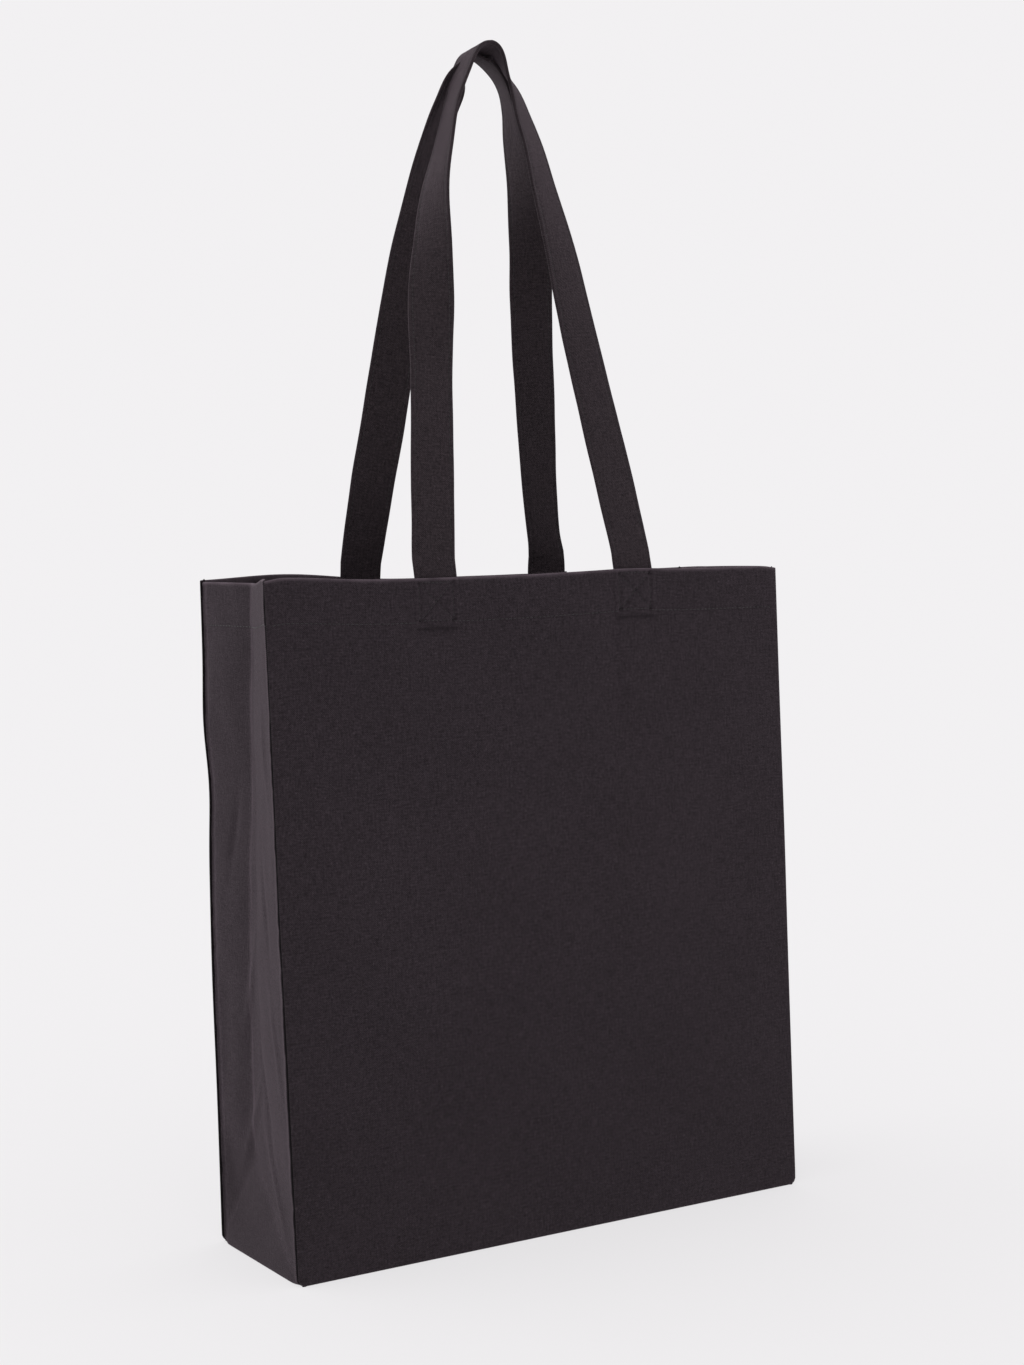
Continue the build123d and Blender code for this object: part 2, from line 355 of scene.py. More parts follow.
def panel_object(face, material):
    """Front or back panel with its rolled seams, folded rim and turned-in hem, in one sheet."""
    rows = wall_rows()
    lengths = path_lengths(rows)
    left = [(-HALF_W + a, b) for a, b in PANEL_ROLL]
    right = [(HALF_W - a, b) for a, b in PANEL_ROLL[::-1]]
    stops = [-HALF_W + SEAM_GAP]
    for middle in STRAP_XS:
        stops += [middle - 18 * MM, middle + 18 * MM]
    stops.append(HALF_W - SEAM_GAP)
    middles = []
    for k, (low, high) in enumerate(zip(stops, stops[1:])):
        middles += list(spaced(low, high, (1.0 if k % 2 else 3.2) * MM)[:-1])
    middles.append(stops[-1])
    columns = left + [(x, 0.0) for x in middles] + right
    xs = np.array([c[0] for c in columns])
    rolls = np.array([c[1] for c in columns])
    points = []
    for height, depth, inside in rows:
        reach = HALF_W - 1.1 * depth if height > RIM / 2 else HALF_W + MM
        x = np.clip(xs, -reach, reach)
        inward = np.maximum(rolls if height < RIM - RIM_R else rolls * 0, depth)
        if height >= RIM - RIM_R and not inside:
            inward = np.maximum(inward, rolls)
        points.append(panel_point(face, x, np.full_like(x, height), inward, inside))
    points = np.array(points)
    uvs = np.stack(np.broadcast_arrays(xs[None, :], lengths[:, None]), -1)
    # painted highlight along the rim; painted shade in the rolled seams, a little towards the floor, and in
    # the dip under each strap end
    painted_light = rim_highlight(rows, points[..., 0], len(xs)) - 1.2 * ramp(rolls, 0.4 * MM, 1.2 * MM)[None, :]
    painted_light = painted_light - 0.16 * ramp(-points[..., 2], -0.3, 0)
    heights = np.array([height for height, _, _ in rows])[:, None]
    for middle in STRAP_XS:
        near = ramp(PATCH_HALF + MM - abs(xs - middle), 0, 5 * MM)[None, :]
        painted_light = painted_light - 0.5 * hump(heights, RIM - PATCH_FOOT, 1.5 * MM) * near
    return sheet_object(f"{face}_panel_cloth", points, uvs, material, flip=face == "back", painted_light=painted_light)


def fold_depths(y, z):
    """Depths of a gusset's two fold surfaces: the upright pleat and the triangle at the floor."""
    depth = np.interp(z, CREASE[:, 0], CREASE[:, 1])
    middle = np.interp(z, CREASE[:, 0], CREASE[:, 2])
    rounding = 0.9 * MM + 2.2 * MM * ramp(-z, -0.75 * RIM, 0)
    off = y - middle
    width = np.where(off > 0, HALF_D - middle, HALF_D + middle)
    away = (np.hypot(off, rounding) - rounding) / (np.hypot(width, rounding) - rounding)
    return depth * np.clip(1 - away, 0, 1), CREASE[1, 1] * z / LOW_FOLD


def gusset_fold(y, z):
    """How far the folded gusset lies inside the bag's side at a point."""
    upper, lower = fold_depths(y, z)
    blend = 0.9 * MM
    gap = np.clip(abs(upper - lower) / blend, 0, 1)
    return np.minimum(upper, lower) - blend * (1 - gap) ** 2 / 4 * ramp(z, 0, 0.02)


def fold_line(y, z):
    """1 along the pressed fold lines of a gusset, 0 away from them."""
    upper, lower = fold_depths(y, z)
    middle = np.interp(z, CREASE[:, 0], CREASE[:, 2])
    pleat = hump(y - middle, 0, 1.6 * MM) * ramp(z, LOW_FOLD, LOW_FOLD + 0.01)
    low = ramp(z, 0.005, 0.02) * ramp(-z, -LOW_FOLD, -0.9 * LOW_FOLD)
    return np.maximum(pleat, hump(upper - lower, 0, 0.35 * MM) * low)


def gusset_waves(side, y, z):
    """Unevenness of the gusset cloth, outward."""
    seed = 11 if side == "left" else 12
    free = ramp(HALF_D - abs(y), 0.002, 0.016)
    slow = 1.3 * soft_noise(y, z, 0.07, seed) + 0.8 * soft_noise(y, z * 0.6, 0.022, seed + 2)
    bow = 1.1 * np.sin(np.pi * np.clip(abs(y) / HALF_D, 0, 1)) * ramp(z, 0.04, 0.12)
    drag = 0.0
    for at, low, slope, size in WRINKLES:
        line = y - (at + slope * (z / MM - low)) * MM
        drag = drag + 1.7 * size * hump(line, 0, 3.2 * MM) * hump(z, (low + 28) * MM, 26 * MM)
    pucker = 0.55 * hump(HALF_D - abs(y), 5 * MM, 5 * MM) * soft_noise(z, y * 0, 0.0075, seed + 4)
    return (slow * free * ramp(z, 0, 0.02) + bow + drag * free + pucker) * MM


def gusset_relief(y, z):
    """Turned hem and its stitch groove on a gusset, outward."""
    near = ramp(HALF_D - abs(y), 0.002, 0.008)
    total = 0.45 * ramp(z, RIM - HEM - 1.5 * MM, RIM - HEM + 1.5 * MM) - 0.4 * hump(z, STITCH_Z, 1.1 * MM)
    total = total + 0.2 * hump(z, STITCH_Z, 10 * MM) * soft_noise(y, z * 0.3, 0.006, 17)
    return total * near * MM


def gusset_lift(side, y):
    """Height of the rim above its nominal level along a gusset."""
    share = y / HALF_D
    ends = sum(corner_lift(face, side, sign * share, HALF_D, 30 * MM) for face, sign in FACES.items())
    return (ends + 0.8 * (1 - share ** 2)) * MM


def gusset_point(side, y, z, inward=0.0, inside=False):
    """Point of a gusset; y and z are flat positions, inward is depth behind its face."""
    sign = SIDES[side]
    out = side_sway(side, y, z) - gusset_fold(y, z) + gusset_waves(side, y, z)
    out = out - corner_inset(z) * hump(HALF_D - abs(y), 0, 6 * MM)
    if not inside:
        out = out + gusset_relief(y, z)
    lift = gusset_lift(side, y) * ramp(z, 0.4 * RIM, RIM)
    return np.stack([sign * (HALF_W + out - inward), y, z + lift], -1)


def gusset_object(side, material):
    """Folded side gusset with rolled seams, folded rim and turned-in hem."""
    rows = wall_rows()
    lengths = path_lengths(rows)
    middle = np.concatenate([
        spaced(-HALF_D + 5.5 * MM, -6 * MM, 2.6 * MM), spaced(-5 * MM, 5 * MM, 1.0 * MM),
        spaced(6 * MM, HALF_D - 5.5 * MM, 2.6 * MM),
    ])
    columns = [(-HALF_D + b, a) for a, b in SIDE_ROLL] + [(y, 0.0) for y in middle]
    columns += [(HALF_D - b, a) for a, b in SIDE_ROLL[::-1]]
    ys = np.array([c[0] for c in columns])
    rolls = np.array([c[1] for c in columns])
    points = []
    for height, depth, inside in rows:
        reach = HALF_D - np.clip(1.1 * depth, 1.5 * MM, None)
        if height < RIM / 2:
            reach = HALF_D - 1.5 * MM
        y = np.clip(ys, -reach, reach)
        inward = np.where(rolls != 0, np.maximum(rolls, depth) if depth else rolls, depth)
        points.append(gusset_point(side, y, np.full_like(y, height), inward, inside))
    points = np.array(points)
    uvs = np.stack(np.broadcast_arrays(ys[None, :], lengths[:, None]), -1)
    # painted highlight along the rim, the pressed folds and beside each seam; painted shade in the seams, at
    # the foot and a little over the whole gusset
    in_seam = ramp(abs(ys), HALF_D - 5.2 * MM, HALF_D - 3.4 * MM)[None, :]
    beside_seam = hump(HALF_D - abs(ys), 7 * MM, 1.8 * MM)[None, :]
    heights = np.array([height for height, _, _ in rows])[:, None]
    painted_light = rim_highlight(rows, points[..., 1], len(ys)) - 1.3 * in_seam
    painted_light = painted_light + 0.5 * fold_line(ys[None, :], heights) + 0.45 * beside_seam
    painted_light = painted_light - 0.4 * ramp(-points[..., 2], -0.09, -0.02) - 0.1
    return sheet_object(f"{side}_gusset_cloth", points, uvs, material, flip=side == "left", painted_light=painted_light)


def base_object(material):
    """Flat base, sewn to the four walls along its edges."""
    def line(half):
        edge = [(inset, height) for height, inset in BASE_EDGE]
        inner = spaced(-half + 6 * MM, half - 6 * MM, 6 * MM)
        low = [(-half + inset, height) for inset, height in edge]
        return low + [(v, 0.0) for v in inner] + [(half - inset, height) for inset, height in edge[::-1]]

    across, deep = line(HALF_W), line(HALF_D)
    xs, ys = np.array([c[0] for c in across]), np.array([c[0] for c in deep])
    x, y = np.meshgrid(xs, ys)
    height = np.maximum(*np.meshgrid([c[1] for c in across], [c[1] for c in deep]))
    free = ramp(HALF_W - abs(x), 0.006, 0.04) * ramp(HALF_D - abs(y), 0.006, 0.03)
    rise = (0.5 + 0.5 * soft_noise(x, y, 0.05, 21)) * 1.4 * MM * free
    inset = corner_inset(height) * hump(HALF_D - abs(y), 0, 6 * MM) * hump(HALF_W - abs(x), 0, 9 * MM)
    lean = np.where(x < 0, side_sway("left", y, 0), side_sway("right", y, 0))
    sway = np.where(x < 0, -1, 1) * (abs(x) / HALF_W) ** 4 * lean
    points = np.stack([x + sway - np.sign(x) * inset, y, height + rise], -1)
    return sheet_object("base_cloth", points, np.stack([x, y], -1), material, flip=True)


# ---- stitches ----
STITCH_RING = 6             # sides of the thread
# one stitch as (share of its length, thickness, height), the last two in thread radii
STITCH_PROFILE = (
    (0.0, 0.25, -0.35), (0.16, 0.85, 0.15), (0.5, 1.0, 0.45), (0.84, 0.85, 0.15), (1.0, 0.25, -0.35),
)


def resample(path, normals, step):
    """Points and normals at even steps along a dense path."""
    path, normals = np.asarray(path, float), np.asarray(normals, float)
    along = np.concatenate([[0], np.cumsum(np.linalg.norm(np.diff(path, axis=0), axis=1))])
    count = max(2, int(along[-1] / step) + 1)
    at = np.linspace(0, along[-1], count)
    points = np.stack([np.interp(at, along, path[:, k]) for k in range(3)], -1)
    facing = np.stack([np.interp(at, along, normals[:, k]) for k in range(3)], -1)
    return points, facing / np.linalg.norm(facing, axis=1)[:, None]


def stitch_mesh(name, rows, material, pitch=3.1 * MM, gap=0.55 * MM, radius=0.27 * MM):
    """Rows of separate stitches, each a short bulging thread that dips into the cloth at both ends."""
    verts, faces = [], []
    rings = len(STITCH_PROFILE)
    step = (pitch - gap) / (rings - 1) / 4
    per_stitch = pitch / step
    for path, normals in rows:
        points, facing = resample(path, normals, step)
        for number in range(int((len(points) - 1) / per_stitch)):
            centres, ups = [], []
            for share, _, lift in STITCH_PROFILE:
                index = int(round(number * per_stitch + share * (pitch - gap) / step))
                index = min(index, len(points) - 1)
                centres.append(points[index] + facing[index] * lift * radius)
                ups.append(facing[index])
            tangent = centres[-1] - centres[0]
            tangent = tangent / np.linalg.norm(tangent)
            first = len(verts)
            for (_, size, _), centre, up in zip(STITCH_PROFILE, centres, ups):
                side = np.cross(tangent, up)
                for k in range(STITCH_RING):
                    angle = 2 * math.pi * k / STITCH_RING
                    verts.append(centre + radius * size * (side * math.cos(angle) + up * math.sin(angle)))
            faces += grid_faces(rings, STITCH_RING, True, first)
            faces.append(tuple(first + k for k in range(STITCH_RING))[::-1])
            faces.append(tuple(first + (rings - 1) * STITCH_RING + k for k in range(STITCH_RING)))
    return make_object(name, verts, faces, material)


def panel_path(face, line, inward=0.0, inside=False):
    """A straight stitch line drawn on a panel, as points and normals."""
    (x0, z0), (x1, z1) = line
    share = np.linspace(0, 1, max(8, int(math.hypot(x1 - x0, z1 - z0) / (1.0 * MM))))
    points = panel_point(face, x0 + (x1 - x0) * share, z0 + (z1 - z0) * share, inward, inside)
    out = np.array([0.0, FACES[face] * (-1 if inside else 1), 0.0])
    return points, np.tile(out, (len(points), 1))


def hem_stitch_object(face, material):
    """The hem's stitch row along a panel, on the outside and on the inside."""
    z = STITCH_Z + 0.4 * MM
    stops = [-HALF_W + SEAM_GAP]
    for middle in STRAP_XS:
        stops += [middle - BOX_HALF, middle + BOX_HALF]
    stops.append(HALF_W - SEAM_GAP)
    rows = []
    for low, high in zip(stops[::2], stops[1::2]):
        rows.append(panel_path(face, ((low, z), (high, z))))
        rows.append(panel_path(face, ((low, z), (high, z)), 2 * RIM_R, True))
    return stitch_mesh(f"{face}_hem_stitching", rows, material)


def side_stitch_object(side, material):
    """The hem's stitch row along a gusset."""
    z = STITCH_Z + 0.4 * MM
    y = np.linspace(-HALF_D + SEAM_GAP, HALF_D - SEAM_GAP, 90)
    rows = []
    for inward, inside in ((0.0, False), (2 * RIM_R, True)):
        points = gusset_point(side, y, np.full_like(y, z), inward, inside)
        tangent = np.gradient(points, axis=0)
        out = np.cross(tangent, (0, 0, 1.0)) * SIDES[side] * (-1 if inside else 1)
        rows.append((points, out / np.linalg.norm(out, axis=1)[:, None]))
    return stitch_mesh(f"{side}_hem_stitching", rows, material)


def box_stitch_object(face, end, material):
    """Box and cross stitching through panel, hem and strap end."""
    middle = STRAP_XS[0] if end == "left" else STRAP_XS[1]
    through = 2 * RIM_R + STRAP_T
    rows = []
    for line in box_lines(middle):
        rows.append(panel_path(face, line))
        rows.append(panel_path(face, line, through, True))
    return stitch_mesh(f"{face}_{end}_box_stitching", rows, material, pitch=2.7 * MM)


# ---- handles ----
FOOT = Vector(JOINTS["front_lean"]["pos_m"])     # where a handle leaves the rim
TOP_DROP = {"front": 3.1 * MM, "back": -0.2 * MM}     # from a handle's highest edge down to its middle line
HANDLE_TOP = {face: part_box(f"{face}_handle")[1].z - TOP_DROP[face] for face in FACES}
LEAN = math.atan2(abs(FOOT.y) - TOP_OFFSET, HANDLE_TOP["front"] - FOOT.z)
RISE = {face: (HANDLE_TOP[face] - FOOT.z) / math.cos(LEAN) for face in FACES}
LOOP_START = (Vector(JOINTS["front_swing"]["pos_m"]) - FOOT).length
ARCH_POWER = {"front": 0.92, "back": 1.04}      # below 1 fills out the arch's shoulders, above 1 slims them
EDGE_ROW = 3.1 * MM         # from a strap's edge to its stitch row
# degrees that each leg has turned edge-on at shares of the handle's rise
TWIST = {
    ("front", "left"): (
        (0, 2), (0.2, 3), (0.42, 6), (0.54, 38), (0.64, 64), (0.72, 79), (0.8, 90), (0.88, 95),
        (0.94, 90), (1, 85),
    ),
    ("front", "right"): (
        (0, 4), (0.17, 0), (0.32, 4), (0.54, 12), (0.65, 20), (0.74, 28), (0.82, 35), (0.88, 41),
        (0.94, 54), (1, 86),
    ),
    ("back", "left"): (
        (0, -2), (0.1, -8), (0.19, -17), (0.38, -19), (0.55, -6), (0.7, 10), (0.81, 24), (0.9, 33),
        (0.96, 44), (1, 88),
    ),
    ("back", "right"): (
        (0, -5), (0.06, -11), (0.14, -9), (0.27, 0), (0.4, 9), (0.55, 20), (0.65, 45), (0.75, 72), (0.86, 91),
        (0.94, 104), (1, 95),
    ),
}
# sideways drift of each leg from a smooth arch at shares of the rise, in millimetres
DRIFT = {
    ("front", "left"): (
        (0, 0), (0.3, -0.5), (0.45, -1.5), (0.6, -2.5), (0.74, -2.5), (0.8, 0), (0.88, 2),
        (0.93, 3.2), (0.97, 2.8), (1, 1),
    ),
    ("front", "right"): (
        (0, 0), (0.17, -2), (0.45, -4.4), (0.65, -3), (0.74, -3), (0.82, -1.5), (0.87, -1.5),
        (0.92, 0), (0.96, 0), (1, 1),
    ),
    ("back", "left"): (
        (0, 0.5), (0.14, 1.5), (0.3, 3.5), (0.45, 4.5), (0.6, 4.2), (0.7, 4.8), (0.8, 4.6),
        (0.86, 5.2), (0.91, 6), (0.96, 6.5), (1, 5),
    ),
    ("back", "right"): (
        (0, -1), (0.14, -3.2), (0.35, -1.3), (0.54, 3), (0.63, 7), (0.75, 8), (0.85, 8.5), (0.91, 10),
        (0.96, 9.5), (1, 5),
    ),
}


def smooth_table(share, table):
    """Smooth curve through a short table of (share, value)."""
    at, values = np.array(table, float).T
    slopes = np.gradient(values, at)
    k = np.clip(np.searchsorted(at, share, side="right") - 1, 0, len(at) - 2)
    span = at[k + 1] - at[k]
    t = np.clip((share - at[k]) / span, 0, 1)
    start, end = values[k], values[k + 1]
    return (
        (2 * t ** 3 - 3 * t ** 2 + 1) * start + (t ** 3 - 2 * t ** 2 + t) * span * slopes[k]
        + (-2 * t ** 3 + 3 * t ** 2) * end + (t ** 3 - t ** 2) * span * slopes[k + 1]
    )


def handle_frames(face):
    """Centre points, tangents, outer normals and across directions along one whole handle."""
    sign = FACES[face]
    upward = np.array([0, -sign * math.sin(LEAN), math.cos(LEAN)])
    outward = np.array([0, sign * math.cos(LEAN), math.sin(LEAN)])
    along_bag = np.array([1.0, 0, 0])
    foot = np.array([0, sign * abs(FOOT.y), FOOT.z])
    straight = np.linspace(-1.5 * MM, LOOP_START, 10)[:-1]
    travel = np.linspace(-1, 1, 181)
    angle = (1 - abs(travel)) * math.pi / 2
    side = np.where(travel > 0, 1, -1)
    loop_x = side * STRAP_XS[1] * np.clip(np.cos(angle), 0, 1) ** ARCH_POWER[face]
    loop_up = LOOP_START + (RISE[face] - LOOP_START) * np.sin(angle) ** 2
    x = np.concatenate([np.full(len(straight), STRAP_XS[0]), loop_x, np.full(len(straight), STRAP_XS[1])])
    up = np.concatenate([straight, loop_up, straight[::-1]])
    share = np.clip(up / RISE[face], 0, 1)
    for end, end_sign in SIDES.items():
        leg = x * end_sign > 0
        x = x + leg * MM * smooth_table(share, DRIFT[face, end])
    centres = foot + x[:, None] * along_bag + up[:, None] * upward
    tangents = np.gradient(centres, axis=0)
    tangents /= np.linalg.norm(tangents, axis=1)[:, None]
    twist = np.where(
        x < 0, smooth_table(share, TWIST[face, "left"]), smooth_table(share, TWIST[face, "right"])
    ) * math.pi / 180
    twist = twist * ramp(up, 0.0, 26 * MM)
    away = np.cross(tangents, outward)
    away *= np.sign(np.sum(away * (centres - foot - upward * RISE[face] * 0.5), axis=1))[:, None]
    normals = outward * np.cos(twist)[:, None] + away * np.sin(twist)[:, None]
    normals -= tangents * np.sum(normals * tangents, axis=1)[:, None]
    normals /= np.linalg.norm(normals, axis=1)[:, None]
    return centres, tangents, normals, np.cross(normals, tangents)


def strap_profile():
    """Outline of the folded, edge-stitched strap's section as (across, off) pairs, once round."""
    half, thick = STRAP_W / 2, STRAP_T / 2
    xs = np.concatenate([
        [-half + thick, -half + 1.9 * MM], spaced(-half + 2.5 * MM, -half + 3.7 * MM, 0.6 * MM),
        spaced(-half + 5 * MM, half - 5 * MM, 2.8 * MM),
        spaced(half - 3.7 * MM, half - 2.5 * MM, 0.6 * MM), [half - 1.9 * MM, half - thick],
    ])
    groove = 0.28 * MM * hump(abs(xs), half - EDGE_ROW, 0.7 * MM)
    crown = 0.1 * MM * (1 - (xs / half) ** 2)
    face = thick - groove + crown
    turns = np.radians([30, 60, 90, 120, 150])
    end = [(half - thick + thick * math.sin(a), thick * math.cos(a)) for a in turns]
    upper = list(zip(xs, face))
    lower = list(zip(xs[::-1], -face[::-1]))
    return np.array(upper + end + lower + [(-x, -y) for x, y in end])


def strap_mesh(name, frames, material, seed, curl=0.5):
    """A strap swept along frames, with a slight uneven curl across its width."""
    centres, _, normals, across = frames
    profile = strap_profile()
    along = np.concatenate([[0], np.cumsum(np.linalg.norm(np.diff(centres, axis=0), axis=1))])
    cup = curl * soft_noise(along, along * 0, 0.09, seed) * MM
    wobble = 0.35 * soft_noise(along, along * 0, 0.03, seed + 1) * MM
    width = 1 + 0.012 * soft_noise(along, along * 0, 0.025, seed + 2)
    ends = ramp(along, 0, 0.02) * ramp(along[-1] - along, 0, 0.02)
    px, py = profile[:, 0], profile[:, 1]
    flat = abs(px) < STRAP_W / 2 - MM
    rough = 0.16 * MM * soft_noise(along[:, None], px[None, :] * 1.5, 0.008, seed + 3) * flat
    lift = (cup * ends)[:, None] * ((px / (STRAP_W / 2)) ** 2 - 0.4)[None, :] + rough * ends[:, None]
    aside = px[None, :] * width[:, None] + (wobble * ends)[:, None]
    points = (
        centres[:, None, :] + across[:, None, :] * aside[..., None]
        + normals[:, None, :] * (py[None, :] + lift)[..., None]
    )
    rows, cols = points.shape[:2]
    faces = grid_faces(rows, cols, True)
    faces.append(tuple(range(cols))[::-1])
    faces.append(tuple((rows - 1) * cols + k for k in range(cols)))
    turn = np.where(np.arange(cols) < cols / 2, px, STRAP_W + MM - px)
    uvs = np.stack(np.broadcast_arrays(turn[None, :], along[:, None]), -1).reshape(-1, 2)
    made = make_object(name, points.reshape(-1, 3), [f[::-1] for f in faces], material, uvs)
    return made, points


def handle_objects(face, material, thread):
    """One handle with its edge stitching on both faces."""
    frames = handle_frames(face)
    handle, points = strap_mesh(f"{face}_handle_strap", frames, material, 31 if face == "front" else 37)
    profile = strap_profile()
    rows = []
    for off in (-1, 1):
        for lift in (-1, 1):
            aim = np.array([off * (STRAP_W / 2 - EDGE_ROW), lift * STRAP_T / 2])
            nearest = int(np.argmin(np.linalg.norm(profile - aim, axis=1)))
            path = points[3:-3, nearest]
            rows.append((path, frames[2][3:-3] * lift))
    stitches = stitch_mesh(f"{face}_handle_stitching", rows, thread, pitch=3.0 * MM, radius=0.24 * MM)
    return handle, stitches


def strap_end_object(face, end, material):
    """The sewn end of a strap, flat behind the hem."""
    middle = STRAP_XS[0] if end == "left" else STRAP_XS[1]
    z = np.linspace(RIM - HEM + 0.3 * MM, RIM + 0.3 * MM, 26)
    x = np.full_like(z, middle)
    centres = panel_point(face, x, z, 2 * RIM_R + STRAP_T / 2 + 0.05 * MM, True)
    centres[:, 2] = z
    tangents = np.tile([0, 0, 1.0], (len(z), 1))
    normals = np.tile([0, float(FACES[face]), 0], (len(z), 1))
    frames = (centres, tangents, normals, np.cross(normals, tangents))
    made, _ = strap_mesh(f"{face}_{end}_strap_tail", frames, material, 41, 0.1)
    return made


# ---- overlocked seam allowances inside ----
def binding_object(name, start, end, wide, out, material):
    """A ridged strip of overlocked allowance from start to end; wide and out are its directions."""
    start, end, wide, out = (np.array(v, float) for v in (start, end, wide, out))
    length, width = np.linalg.norm(end - start), np.linalg.norm(wide)
    s = spaced(0, length, 0.75 * MM)
    t = np.linspace(0, 1, 9)
    ridge = 0.5 + 0.5 * np.cos(2 * np.pi * (s[:, None] / (3 * MM) + 0.5 * t[None, :]))
    wave = 0.25 * MM * soft_noise(s, s * 0, 0.02, 51)[:, None]
    height = (0.5 + 0.35 * ridge) * MM * np.sin(np.pi * np.clip(t, 0.06, 0.94))[None, :] ** 0.4
    axis = (end - start) / length
    across = (t[None, :, None] * width + wave[..., None]) * wide / width
    points = start + s[:, None, None] * axis + across + height[..., None] * out
    uvs = np.stack(np.broadcast_arrays(t[None, :] * width, s[:, None]), -1)
    flip = bool(np.dot(np.cross(wide, axis), out) > 0)
    return sheet_object(name, points, uvs, material, flip, thickness=0.4 * MM)


# ---- materials ----
class Nodes:
    """Small helper that builds one material's node tree."""

    def __init__(self, name):
        self.material = bpy.data.materials.new(name)
        self.material.use_nodes = True
        self.tree = self.material.node_tree
        self.shader = self.tree.nodes["Principled BSDF"]

    def add(self, kind, inputs=(), **settings):
        node = self.tree.nodes.new(kind)
        for key, value in settings.items():
            setattr(node, key, value)
        for key, value in dict(inputs).items():
            self.set(node.inputs[key], value)
        return node

    def set(self, socket, value):
        if isinstance(value, bpy.types.NodeSocket):
            self.tree.links.new(value, socket)
        else:
            socket.default_value = value

    def math(self, operation, *values):
        node = self.add("ShaderNodeMath", dict(enumerate(values)), operation=operation)
        return node.outputs[0]

    def noise(self, vector, scale, detail=2.0, stretch=(1, 1, 1)):
        moved = self.add("ShaderNodeMapping", {"Vector": vector, "Scale": stretch})
        settings = {"Vector": moved.outputs[0], "Scale": scale, "Detail": detail, "Roughness": 0.6}
        return self.add("ShaderNodeTexNoise", settings).outputs["Fac"]

    def spread(self, value, low, high):
        made = self.add("ShaderNodeMapRange", {"Value": value, "From Min": low, "From Max": high})
        return made.outputs[0]

    def mix(self, share, first, second):
        node = self.add("ShaderNodeMix", data_type="RGBA")
        self.set(node.inputs["Factor"], share)
        for socket, colour in zip((s for s in node.inputs if s.type == "RGBA"), (first, second)):
            self.set(socket, colour)
        return [s for s in node.outputs if s.type == "RGBA"][0]


def cloth_material(name, dark, pale, pitch, depth, slub, fleck, sheen):
    """Plain-woven cotton: over-and-under threads, slubs, mottle and a few flecks of lint, plus painted
    highlight and painted shade read from each mesh.
    """
    n = Nodes(name)
    where = n.add("ShaderNodeUVMap", uv_map="UVMap").outputs[0]
    warp_by = n.noise(where, 90, 1.0)
    axes = n.add("ShaderNodeSeparateXYZ", {"Vector": where})
    waves = []
    for k, axis in enumerate(("X", "Y")):
        drift = n.math("MULTIPLY", warp_by, 0.35 * pitch * (k + 1))
        moved = n.math("ADD", axes.outputs[axis], drift)
        waves.append(n.math("SINE", n.math("MULTIPLY", moved, math.pi / pitch)))
    weave = n.math("MULTIPLY", waves[0], waves[1])
    up_slub = n.noise(where, 1.0, 2.0, (900, 120, 1))
    across_slub = n.noise(where, 1.0, 2.0, (130, 900, 1))
    slubs = n.math("ADD", up_slub, across_slub)
    mottle = n.noise(where, 14, 3.0)
    grain = n.noise(where, 700, 2.0)
    height = n.math("ADD", n.math("MULTIPLY", weave, 0.5), n.math("MULTIPLY", slubs, slub))
    height = n.math("ADD", height, n.math("MULTIPLY", grain, 0.7))
    tone = n.math("ADD", n.math("MULTIPLY", weave, 0.16), n.math("MULTIPLY", slubs, 0.6))
    tone = n.math("ADD", tone, n.math("MULTIPLY", mottle, 0.2))
    tone = n.math("ADD", tone, n.math("MULTIPLY", grain, 0.9))
    shade = n.spread(tone, 0.86, 1.5)
    lint = n.math("MULTIPLY", n.spread(n.noise(where, 520, 0.0), 0.745, 0.82), fleck)
    colour = n.mix(n.math("ADD", shade, lint), dark, pale)
    # painted highlight towards three times the pale tone, painted shade towards 0.45 of the dark tone, from
    # each mesh's painted light values
    painted_light = n.add("ShaderNodeAttribute", attribute_name="painted_light").outputs["Fac"]
    colour = n.mix(n.spread(painted_light, 0.0, 1.6), colour, tuple(3.0 * c for c in pale[:3]) + (1,))
    colour = n.mix(n.spread(painted_light, 0.0, -1.0), colour, tuple(0.45 * c for c in dark[:3]) + (1,))
    n.set(n.shader.inputs["Base Color"], colour)
    n.set(n.shader.inputs["Roughness"], 0.92)
    n.set(n.shader.inputs["Specular IOR Level"], 0.12)
    n.set(n.shader.inputs["Sheen Weight"], sheen)
    n.set(n.shader.inputs["Sheen Roughness"], 0.45)
    n.set(n.shader.inputs["Sheen Tint"], (1, 0.78, 0.92, 1))
    bump = n.add("ShaderNodeBump", {"Height": height, "Distance": depth, "Strength": 0.8})
    n.set(n.shader.inputs["Normal"], bump.outputs[0])
    return n.material


def thread_material(name, dark, pale, twist):
    """Twisted sewing thread with uneven tone."""
    n = Nodes(name)
    where = n.add("ShaderNodeTexCoord").outputs["Object"]
    tone = n.noise(where, 260, 2.0)
    n.set(n.shader.inputs["Base Color"], n.mix(n.spread(tone, 0.35, 0.65), dark, pale))
    n.set(n.shader.inputs["Roughness"], 0.62)
    n.set(n.shader.inputs["Specular IOR Level"], 0.35)
    n.set(n.shader.inputs["Sheen Weight"], 0.15)
    height = n.noise(where, twist, 1.0)
    bump = n.add("ShaderNodeBump", {"Height": height, "Distance": 0.15 * MM, "Strength": 0.6})
    n.set(n.shader.inputs["Normal"], bump.outputs[0])
    return n.material


